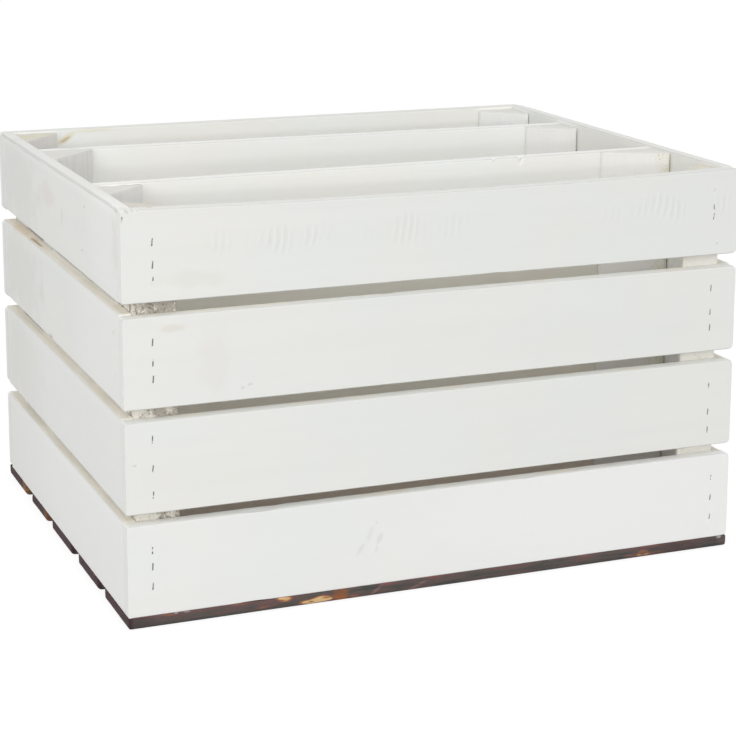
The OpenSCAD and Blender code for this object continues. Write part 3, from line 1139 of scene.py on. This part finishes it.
@dataclass
class Walls:
    """The four walls of four tiers each."""

    paint: Paint = Paint()
    # Painted light: the lowest tier's paint is whiter, standing in for more light on it.
    lowest_tier_lit_paint: Paint = Paint(white=(0.945, 0.945, 0.935), shade=(0.90, 0.90, 0.885))
    rim_sag: float = 3 * MM
    dull_rim: float = 0.5
    left_dents: tuple[float, float] = (0.55 * MM, 0.7 * MM)
    right_dents: Sequence[tuple[float, float]] = (
        (0.32 * MM, 0.46 * MM),
        (0.50 * MM, 0.62 * MM),
        (0.50 * MM, 0.62 * MM),
        (0.24 * MM, 0.38 * MM),
    )
    bare_slots: Mapping[str, Sequence[float]] = field(
        default_factory=lambda: {
            "front": (0.45, 0.45, 0.45),
            "back": (0.5, 0.5, 0.5),
            "left": (0.92, 0.92, 1.0),
            "right": (0.7, 0.7, 0.8),
        }
    )
    easings: Mapping[str, Easing] = field(
        default_factory=lambda: {
            "front": Easing(
                ((1 * MM, 1 * MM), (4 * MM, 4 * MM)), start_arris=CRISP_ARRIS, end_arris=0.5 * MM
            ),
            "back": Easing(((4 * MM, 3 * MM), (4 * MM, 4 * MM))),
            "left": Easing(start_arris=CRISP_ARRIS),
            "right": Easing(),
        }
    )
    left_rim: Easing = Easing(start_arris=CRISP_ARRIS, top_arris=1.5 * MM)

    def build(self, staples: StapleSet) -> None:
        """Makes every wall board."""
        for number, wall in enumerate(("front", "back", "left", "right")):
            for tier in range(1, TIERS + 1):
                self._board(wall, tier, SEEDS_A_WALL * number + tier, staples)

    def _board(self, wall: str, tier: int, seed: int, staples: StapleSet) -> None:
        """Makes the board of one wall and tier."""
        rim = tier == TIERS
        bare = (0.3, *self.bare_slots[wall], 0.0)
        board = Board(
            node=f"{wall}_board_{tier}",
            facing=Facing[wall.upper()],
            seed=seed,
            easing=self.left_rim if rim and wall == "left" else self.easings[wall],
            bare_low=bare[tier - 1],
            bare_high=bare[tier],
            dull_top=self.dull_rim * rim,
            sag=self.rim_sag if rim and wall == "front" else 0.0,
            edges=EDGES.get((wall, tier), Edges()),
            dent_depths=(self.left_dents, self.right_dents[tier - 1]) if wall == "front" else PAINTED_OVER,
            marks=MARKS.get((wall, tier), ()),
            chips=CHIPS.get((wall, tier), ()),
        )
        # The lowest tier takes the whiter paint of painted light.
        board.lay(f"{wall}_wall_tier_{tier}", self.lowest_tier_lit_paint if tier == 1 else self.paint, staples)


@dataclass
class Dividers:
    """The two dividers, each with the same four tiers as the walls, and a paint for each tier that carries
    painted light and shade.
    """

    first_seed: int = 60
    bare_slots: float = 0.6
    # Painted shade on tiers 1 to 3: warmer paint, and darker on tier 3, for the shade and the brown bounce
    # of the charred floor deep in the bays. Painted light on tier 4: whiter paint.
    tier_paints_lit_and_shaded: tuple[Paint, ...] = (
        Paint(white=(0.99, 0.88, 0.78), shade=(0.94, 0.80, 0.69)),
        Paint(white=(1.0, 0.95, 0.87), shade=(0.97, 0.91, 0.81)),
        Paint(white=(0.88, 0.85, 0.79), shade=(0.80, 0.75, 0.66)),
        Paint(white=(0.96, 0.96, 0.945), shade=(0.92, 0.92, 0.90)),
    )

    def build(self, staples: StapleSet) -> None:
        """Makes every divider board."""
        for number, divider in enumerate(("front", "back")):
            for tier in range(1, TIERS + 1):
                key = (f"{divider} divider", tier)
                board = Board(
                    node=f"{divider}_divider_board_{tier}",
                    facing=Facing.BACK,
                    seed=self.first_seed + SEEDS_A_WALL * number + tier,
                    bare_low=self.bare_slots,
                    bare_high=0.0 if tier == TIERS else self.bare_slots,
                    edges=EDGES.get(key, Edges()),
                    dent_depths=PAINTED_OVER,
                    chips=CHIPS.get(key, ()),
                )
                board.lay(f"{divider}_divider_tier_{tier}", self.tier_paints_lit_and_shaded[tier - 1], staples)


@dataclass
class Posts:
    """The eight posts that hold the walls and the dividers."""

    posts: tuple[Post, ...] = (
        Post(
            "corner_post_front_left",
            101,
            raw=0.70,
            raw_top=0.0,
            raw_tip=0.52,
            finish=RoughPaint(
                paint=(0.90, 0.87, 0.79),
                dirt=(0.45, 0.42, 0.37),
                wood=(0.52, 0.48, 0.42),
                dark_wood=(0.24, 0.20, 0.17),
                patches=1.8,
                patches_per_metre=130.0,
                specks=0.6,
            ),
        ),
        Post(
            "corner_post_front_right",
            102,
            raw=0.4,
            raw_top=0.6,
            finish=RoughPaint(
                paint=(0.92, 0.90, 0.84),
                wood=(0.84, 0.81, 0.68),
                dark_wood=(0.74, 0.69, 0.52),
                patches=1.2,
                patches_per_metre=90.0,
                specks=0.5,
            ),
        ),
        Post(
            "corner_post_back_left",
            103,
            raw_top=0.6,
            finish=RoughPaint(
                paint=(0.84, 0.82, 0.80), wood=(0.82, 0.79, 0.56), dark_wood=(0.70, 0.66, 0.42), streaks=0.25
            ),
        ),
        Post("corner_post_back_right", 104, top_drop=1 * MM),
        Post("front_divider_post_left", 105, top_drop=1.6 * MM, finish=RoughPaint(streaks=0.25)),
        Post(
            "front_divider_post_right",
            106,
            raw=0.25,
            raw_tip=0.68,
            top_drop=-1 * MM,
            finish=RoughPaint(
                paint=(0.94, 0.93, 0.90),
                wood=(0.86, 0.84, 0.72),
                dark_wood=(0.74, 0.71, 0.55),
                specks=0.6,
                streaks=0.06,
            ),
        ),
        Post(
            "back_divider_post_left",
            107,
            raw_tip=0.25,
            top_drop=-1.2 * MM,
            finish=RoughPaint(paint=(0.88, 0.88, 0.86), streaks=0.35),
        ),
        Post("back_divider_post_right", 108, raw_tip=0.3, top_drop=1.5 * MM),
    )

    def build(self) -> None:
        """Makes every post."""
        for post in self.posts:
            name = post.node.replace("post", "post_sawn")
            material = post.finish.material(f"{name}_{post.finish.COAT}", post.seed)
            install(post.skin().build(name, material), post.finish.SLOT, post.node)


@dataclass
class Splinters:
    """Torn fibres at the rim's front left corner."""

    middle: tuple[float, float, float] = (-244 * MM, -194 * MM, 309 * MM)
    spread: tuple[float, float, float] = (5 * MM, 5 * MM, 0.4 * MM)
    highest: float = 310.9 * MM
    count: int = 16
    sides: int = 3
    rings: int = 5
    thickness: float = 0.45 * MM
    lengths: tuple[float, float] = (3 * MM, 8 * MM)
    rise: tuple[float, float] = (0.05, 0.3)
    bend: float = 0.25
    taper: float = 0.85
    seed: int = 31
    grain_seed: int = 120
    bare: float = 0.45
    dull: float = 0.4
    finish: Paint = Paint()

    def build(self) -> None:
        """Makes one piece of all the slivers."""
        rng = np.random.default_rng(self.seed)
        points: list[Array] = []
        faces: list[tuple[int, ...]] = []
        for _ in range(self.count):
            first = len(points) * self.sides
            start = np.array(self.middle) + rng.uniform(-1, 1, 3) * self.spread
            turn, length = rng.uniform(0, 2 * math.pi), rng.uniform(*self.lengths)
            way = np.array([math.cos(turn), math.sin(turn), rng.uniform(*self.rise)])
            curl = rng.normal(0, self.bend, 3)
            for ring in range(self.rings):
                share = ring / (self.rings - 1)
                middle = start + way * length * share + curl * length * share**2
                angles = 2 * math.pi * np.arange(self.sides) / self.sides
                reach = self.thickness * (1 - self.taper * share)
                across = np.array([-way[1], way[0], 0])
                ring_shape = np.outer(np.cos(angles), across) + np.outer(np.sin(angles), (0, 0, 1))
                points.append(middle + reach * ring_shape)
            faces += ring_quads(self.rings, self.sides, first)
            tip = first + (self.rings - 1) * self.sides
            faces += [tuple(range(first, first + self.sides))[::-1], tuple(range(tip, tip + self.sides))]
        placed = np.concatenate(points)
        low, high = (np.array(corner) for corner in CAD_BOX)
        placed = np.clip(placed, low, [*high[:2], self.highest])
        wear = np.tile([self.bare, 0.0, self.dull], (len(placed), 1))
        material = self.finish.material(f"corner_splinters_{self.finish.COAT}", self.grain_seed)
        install(Skin(placed, faces, placed, wear).build("corner_splinters", material), self.finish.SLOT)


@dataclass
class Floor:
    """The five charred floor boards."""

    finish: CharredWood = CharredWood()
    outer_corner: float = 1 * MM
    gap_corner: float = 4 * MM
    arris: float = 2.5 * MM
    inner_arris: float = 0.6 * MM
    first_seed: int = 80

    def build(self, staples: StapleSet) -> None:
        """Makes every floor board."""
        corners = [self.outer_corner, *[self.gap_corner] * (FLOOR_BOARDS - 1), self.outer_corner]
        outer = dict.fromkeys(("arris", "top_arris", "start_arris", "end_arris"), self.arris)
        for place in range(1, FLOOR_BOARDS + 1):
            ends = (corners[place - 1], corners[place])
            board = Board(
                node=f"floor_board_{place}",
                facing=Facing.UNDER,
                seed=self.first_seed + place,
                easing=Easing((ends, ends), **outer, inner_arris=self.inner_arris),
                marks=MARKS.get(("floor", place), ()),
            )
            board.lay(f"floor_plank_{place}", self.finish, staples)


# ---------------------------------------------------------------- marks of this crate, with some painted light and shade, in mm


def spot(
    kind: MarkKind,
    along: float,
    across: float,
    length: float,
    width: float,
    strength: float,
    *colour: float,
    through: float = 0.0,
    thickness: float = math.inf,
    **others: Any,
) -> Mark:
    """A mark given in mm, with its colour after its strength."""
    shape = (along * MM, across * MM, length * MM, width * MM, strength, colour or Mark.colour)
    return Mark(kind, *shape, through=through * MM, thickness=thickness * MM, **others)


knot_and_shade = partial(spot, MarkKind.KNOT_AND_SHADE)
stain = partial(spot, MarkKind.STAIN)
scratch = partial(spot, MarkKind.SCRATCH)
chatter = partial(spot, MarkKind.CHATTER)


def pale(along: float, length: float, strength: float) -> Mark:
    """Painted light: whiter paint colour over a wide stretch of a board, where more light falls."""
    return stain(along, 34, length, 200, strength, 0.98, 0.98, 0.97, ragged=0.2)


def far_half_shade(strength: float) -> Mark:
    """Painted shade: darker, greyer paint colour along the far half of a left board, where less light falls.
    """
    return stain(320, 34, 200, 100, strength, 0.66, 0.65, 0.60)


def flame(along: float, up: float, length: float, height: float, strength: float) -> Mark:
    """Spared wood on a floor board's front edge, up from its underside."""
    return spot(MarkKind.FLAME, along, 0, length, 36, strength, through=up, thickness=height)


def burn(along: float, up: float, length: float, height: float, strength: float, *colour: float) -> Mark:
    """A tinted patch on a floor board's front edge, up from its underside."""
    return stain(along, 0, length, 24, strength, *colour, through=up, thickness=height, ragged=0.8)


def ash(along: float, up: float, length: float, lean: float) -> Mark:
    """A streak of pinkish ash on a floor board's front edge."""
    shape = (along, 0, length, 24, 0.75, 0.30, 0.17, 0.155)
    return stain(*shape, through=up, thickness=3.5, ragged=0.8, lean=lean, on_edge=True)


def chip(along: float, width: float, depth: float, inner: bool = False) -> Chip:
    """A chip given in mm."""
    return Chip(along * MM, width * MM, depth * MM, inner)


def edges(top: Sequence[float] = (0.0, 0.0), low: Sequence[float] = (0.0, 0.0)) -> Edges:
    """A board's edges given in mm."""
    return Edges((top[0] * MM, top[1] * MM), (low[0] * MM, low[1] * MM))


CHIPS: Mapping[tuple[str, int], tuple[Chip, ...]] = {
    ("front", 4): (chip(3, 9, 2.2), chip(11, 6, 1.0), chip(24, 5, 0.8, inner=True)),
    ("left", 4): (chip(4, 10, 1.8), chip(14, 6, 0.9)),
    ("front divider", 4): (chip(333, 4, 1.4, inner=True), chip(357, 7, 1.2, inner=True)),
}

EDGES: Mapping[tuple[str, int], Edges] = {
    ("front", 1): edges(top=(2.0, 2.0)),
    ("front", 2): edges(top=(1.2, 1.3)),
    ("left", 1): edges(top=(2.0, 0.8)),
    ("left", 2): edges(top=(1.6, 2.8), low=(0.0, 0.6)),
    ("left", 3): edges(top=(1.0, 2.2), low=(0.6, 2.8)),
    ("left", 4): edges(low=(-0.8, 3.0)),
    ("front divider", 4): edges(top=(-0.3, 0.9)),
    ("back divider", 4): edges(top=(1.2, -1.1)),
}

SPECK: Colour = (0.40, 0.37, 0.33)
SCORCH: Colour = (0.26, 0.10, 0.10)
ASH_GREY: Colour = (0.60, 0.58, 0.56)

MARKS: Mapping[tuple[str, int], tuple[Mark, ...]] = {
    ("front", 4): (
        chatter(73, 41, 30, 26, 0.7),
        chatter(94, 41, 16, 16, 0.4),
        chatter(106, 40, 16, 18, 0.5),
        chatter(119, 40, 30, 28, 1.0),
        chatter(142, 40, 20, 24, 0.8),
        chatter(156, 40, 18, 14, 0.4),
        chatter(186, 40, 18, 16, 0.3),
        chatter(219, 39, 42, 32, 1.0),
        chatter(257, 41, 34, 24, 0.8),
        chatter(389, 39, 32, 16, 0.6),
        chatter(408, 40, 20, 14, 0.5),
        chatter(435, 42, 60, 28, 1.1),
        chatter(485, 43, 28, 26, 0.9),
        stain(54, 14, 70, 18, 0.15, 0.74, 0.71, 0.58),
        stain(482, 9, 3, 3, 0.3, *SPECK),
    ),
    ("front", 3): (
        stain(38, 58, 24, 7, 0.25, 0.72, 0.64, 0.48),
        stain(68, 32, 36, 76, 0.14, 0.80, 0.70, 0.64),
        scratch(89, 9, 4, 3, 0.9),
        scratch(94.5, 11, 5, 2.5, 1.0),
    ),
    ("front", 2): (scratch(7, 37, 5, 3, 1.2),),
    ("front", 1): (
        scratch(181.5, 30, 5, 13, 0.7, lean=-0.6),
        scratch(189, 41, 6, 18, 0.4, lean=-0.35),
        scratch(194, 49, 3, 4, 0.6),
        scratch(196.5, 36, 6, 12, 0.75, lean=-0.35),
        scratch(194, 28, 4, 9, 0.5, lean=-0.2),
        # Painted light: the whole lowest front board whiter.
        pale(500, 760, 0.9),
    ),
    ("left", 4): (
        # Painted light: paler towards the front end of the left wall.
        pale(20, 160, 0.4),
        stain(164.5, 32, 3.5, 20, 0.5, 0.55, 0.55, 0.53),
        stain(215, 42, 70, 30, 0.30, 0.80, 0.72, 0.68),
        stain(6, 40, 24, 60, 0.30, 0.80, 0.72, 0.66),
        # Painted shade towards the back of the left wall.
        far_half_shade(0.25),
        stain(102, 18, 3, 2, 0.8, *SPECK),
        stain(92, 53, 3, 2, 0.8, *SPECK),
    ),
    ("left", 3): (
        knot_and_shade(272, 68, 62, 6, 1.0, 0.54, 0.36, 0.19, through=3.5, thickness=4.5),
        knot_and_shade(322, 68, 110, 6, 0.6, 0.80, 0.64, 0.45, through=5, thickness=18),
        stain(240, 40, 14, 50, 0.15, 0.66, 0.66, 0.64),
        # Painted light: paler towards the front end of the left wall.
        pale(40, 260, 0.4),
        # Painted shade towards the back of the left wall.
        far_half_shade(0.25),
        scratch(16, 52, 6, 4, 1.0),
    ),
    ("left", 2): (
        # Painted shade: a near-black line along the inner side of this board's top edge, where the slot
        # above it lies in shadow.
        knot_and_shade(318, 68, 110, 8, 1.0, 0.10, 0.085, 0.07, through=9.7, thickness=3.4),
        # Painted shade towards the back of the left wall.
        far_half_shade(0.2),
        # Painted light: paler towards the front end of the left wall.
        pale(120, 520, 0.35),
    ),
    # Painted light: the whole lowest left board whiter.
    ("left", 1): (pale(100, 620, 0.95),),
    ("back", 4): (
        knot_and_shade(57, 60, 28, 9, 0.6, 0.72, 0.62, 0.34, lean=0.5),
        knot_and_shade(56, 59, 16, 4, 0.6, 0.50, 0.33, 0.16, lean=0.5),
        knot_and_shade(78, 66, 50, 5, 0.4, 0.80, 0.74, 0.50),
    ),
    ("floor", 1): (
        flame(120, 8.5, 16, 8, 1.3),
        flame(142, 2.2, 30, 8, 1.5),
        flame(151, 3.5, 26, 9, 1.5),
        flame(176, 5.0, 20, 14, 0.35),
        burn(165, 5, 16, 18, 1.1, 0.36, 0.13, 0.05),
        flame(107, 5.0, 24, 14, 0.25),
        burn(203, 8, 14, 6, 0.8, *SCORCH),
        burn(242, 8, 20, 6, 0.8, *SCORCH),
        burn(4, 4, 44, 30, 0.6, 0.060, 0.040, 0.040),
        burn(475, 4, 120, 40, 0.6, 0.060, 0.055, 0.052),
        flame(424, 3.5, 15, 9, 0.5),
        flame(436, 1.5, 26, 6, 0.45),
        flame(414, 2.5, 20, 6, 0.35),
        ash(194, 4.5, 20, -0.62),
        ash(228, 3.5, 24, -0.38),
        burn(498, 4, 18, 16, 0.8, 0.16, 0.125, 0.12),
        burn(493, 8.5, 6, 4, 0.9, 0.75, 0.72, 0.70),
        burn(36, 9, 5, 3, 0.7, *ASH_GREY),
        burn(44, 9, 8, 3, 0.7, *ASH_GREY),
    ),
    ("floor", 4): (stain(0, 3, 16, 18, 0.8, 0.26, 0.115, 0.05, ragged=0.6),),
    ("floor", 5): (stain(0, 7, 16, 26, 1.0, 0.30, 0.15, 0.06, ragged=0.6),),
}


# ---------------------------------------------------------------- studio


@dataclass(frozen=True)
class Viewpoint:
    """The camera: its place, where it looks and its lens."""

    place: Vector = Vector((-0.6238, -1.6046, 0.5823))
    yaw: float = math.radians(21.748)
    pitch: float = math.radians(11.438)
    roll: float = math.radians(0.107)
    lens: float = 102.958
    sensor: float = 36.0
    shift_y: float = -0.1739

    def build(self) -> None:
        """Makes the scene's camera."""
        forward = Vector(
            (
                math.sin(self.yaw) * math.cos(self.pitch),
                math.cos(self.yaw) * math.cos(self.pitch),
                -math.sin(self.pitch),
            )
        )
        level = Vector((math.cos(self.yaw), -math.sin(self.yaw), 0))
        upright = level.cross(forward)
        right = level * math.cos(self.roll) + upright * math.sin(self.roll)
        above = upright * math.cos(self.roll) - level * math.sin(self.roll)
        data = bpy.data.cameras.new("camera")
        data.sensor_width = self.sensor
        data.lens = self.lens
        data.shift_y = self.shift_y
        camera = new_object("camera", data)
        turned = Matrix((right, above, -forward)).transposed().to_4x4()
        camera.matrix_world = Matrix.Translation(self.place) @ turned
        bpy.context.scene.camera = camera


@dataclass(frozen=True)
class Sun:
    """A lamp far away: its strength, how far left of the front and how high it stands, and how
    wide it looks."""

    name: str
    strength: float
    left: float
    elevation: float
    width: float

    @property
    def toward(self) -> Vector:
        """The way from the crate to the lamp."""
        level = math.cos(self.elevation)
        ahead = -math.cos(self.left) * level
        return Vector((-math.sin(self.left) * level, ahead, math.sin(self.elevation)))


@dataclass(frozen=True)
class Studio:
    """A pale floor under a plain white sky, with a low key light, a softbox and a near fill."""

    floor_half: float = 8.0
    floor_colour: Colour = (0.45, 0.45, 0.45)
    seen_floor: Colour = (0.22, 0.22, 0.22)
    seen_lift: float = 0.84
    sky: float = 0.71
    suns: tuple[Sun, ...] = (
        Sun("key", 0.26, math.radians(18), math.radians(5.7), math.radians(3)),
        Sun("softbox", 0.615, math.radians(4), math.radians(30), math.radians(50)),
    )
    fill_power: float = 3.0
    fill_place: Vector = Vector((-1.2, -0.66, 0.78))
    fill_size: float = 0.5
    fill_target: Vector = Vector((0, 0, 0.15))
    sun_distance: float = 3.0

    def build(self) -> None:
        """Makes the floor, the sky and the lamps."""
        bpy.context.scene.view_settings.view_transform = "Standard"
        self._sky()
        self._floor()
        for sun in self.suns:
            data = bpy.data.lights.new(sun.name, "SUN")
            data.energy = sun.strength
            data.angle = sun.width
            self._aim(data, sun.toward * self.sun_distance, sun.toward)
        fill = bpy.data.lights.new("fill", "AREA")
        fill.energy = self.fill_power
        fill.size = self.fill_size
        self._aim(fill, self.fill_place, self.fill_place - self.fill_target)

    @staticmethod
    def _aim(data: bpy.types.Light, place: Vector, back: Vector) -> None:
        """Puts a lamp at a place, with its back turned that way."""
        lamp = new_object(data.name, data)
        lamp.location = place
        lamp.rotation_mode = "QUATERNION"
        lamp.rotation_quaternion = (-back).to_track_quat("-Z", "Y")

    @staticmethod
    def _seen(shader: Shader) -> Value:
        """1 for rays that show the background itself, straight or in metal and glass."""
        rays = shader.node("ShaderNodeLightPath").output("Is Camera Ray")
        return rays.larger(rays.output("Is Glossy Ray")).larger(rays.output("Is Transmission Ray"))

    def _sky(self) -> None:
        """A sky that is white to look at and lights the crate more softly."""
        world = bpy.data.worlds.new("sky")
        world.use_nodes = True
        bpy.context.scene.world = world
        shader = Shader(world.node_tree)
        white = (1.0, 1.0, 1.0, 1.0)
        light = shader.node("ShaderNodeBackground", {}, {"Color": white, "Strength": self.sky})
        shown = shader.node("ShaderNodeBackground", {}, {"Color": white, "Strength": 1.0})
        mixed = shader.node("ShaderNodeMixShader", {}, {0: self._seen(shader), 1: light, 2: shown})
        shader.node("ShaderNodeOutputWorld", {}, {"Surface": mixed})

    def _floor(self) -> None:
        """A floor that bounces light as pale board does and looks white round a soft shadow."""
        material, shader = new_material("studio_floor")
        pale = shader.node("ShaderNodeBsdfDiffuse", {}, {"Color": (*self.floor_colour, 1.0)})
        dimmed = shader.node("ShaderNodeBsdfDiffuse", {}, {"Color": (*self.seen_floor, 1.0)})
        lift = shader.node("ShaderNodeEmission", {}, {"Strength": self.seen_lift})
        shown = shader.node("ShaderNodeAddShader", {}, {0: dimmed, 1: lift})
        mixed = shader.node("ShaderNodeMixShader", {}, {0: self._seen(shader), 1: pale, 2: shown})
        shader.node("ShaderNodeOutputMaterial", {}, {"Surface": mixed})
        half = self.floor_half
        mesh = bpy.data.meshes.new("studio_floor")
        corners = [(-half, -half, 0), (half, -half, 0), (half, half, 0), (-half, half, 0)]
        mesh.from_pydata(corners, [], [(0, 1, 2, 3)])
        mesh.materials.append(material)
        new_object("studio_floor", mesh)


def main() -> None:
    """Builds the crate's looks and the studio."""
    logging.basicConfig(level=logging.INFO, format="%(name)s %(message)s")
    staples = StapleSet()
    Walls().build(staples)
    Dividers().build(staples)
    Posts().build()
    Splinters().build()
    Floor().build(staples)
    staples.dress()
    Viewpoint().build()
    Studio().build()


if __name__ == "__main__":
    main()
